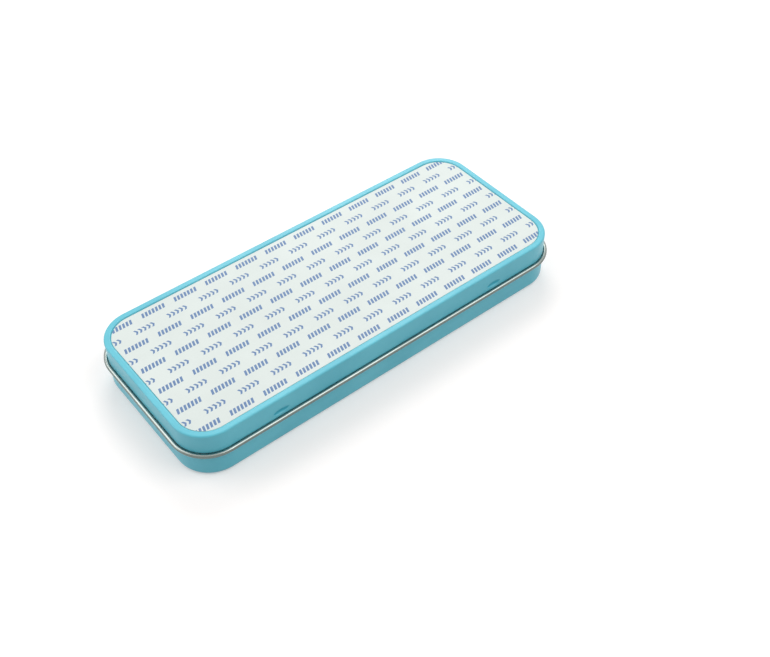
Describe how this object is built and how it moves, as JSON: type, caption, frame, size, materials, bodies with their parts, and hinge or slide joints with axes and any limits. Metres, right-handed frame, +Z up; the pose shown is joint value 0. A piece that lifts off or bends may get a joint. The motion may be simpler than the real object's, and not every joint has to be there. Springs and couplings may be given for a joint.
{
  "type": "hinged pencil tin",
  "caption": "Long flat tinplate case with rounded corners, a rolled rim ring and a hinged lid whose recessed panel holds an adhesive sheet under a printed release liner.",
  "frame": {"origin": "centre of the footprint, on the plane that the tin stands on", "axes": "+X along the tin's length, +Y towards the hinge side, +Z up; the front with the two dimples faces -Y"},
  "size_m": [0.1936, 0.0822, 0.0234],
  "materials": {
    "enamelled_tinplate": "satin turquoise enamel outside; the rim ring, the neck and the inside are bare tinplate",
    "steel_wire": "drawn wire",
    "adhesive_film": "tacky cream film",
    "liner_paper": "smooth coated paper with a repeated blue print"
  },
  "bodies": {
    "base": {"base_tray": "enamelled_tinplate", "hinge_pin_left": "steel_wire", "hinge_pin_right": "steel_wire"},
    "lid": {"lid_shell": "enamelled_tinplate", "adhesive_sheet": "adhesive_film", "release_liner": "liner_paper"}
  },
  "joints": [
    {"name": "lid_hinge", "type": "hinge", "parent": "base", "child": "lid", "pos_m": [0, 0.04015, 0.0128], "axis": [-1, 0, 0], "range_deg": [0, 110]}
  ]
}
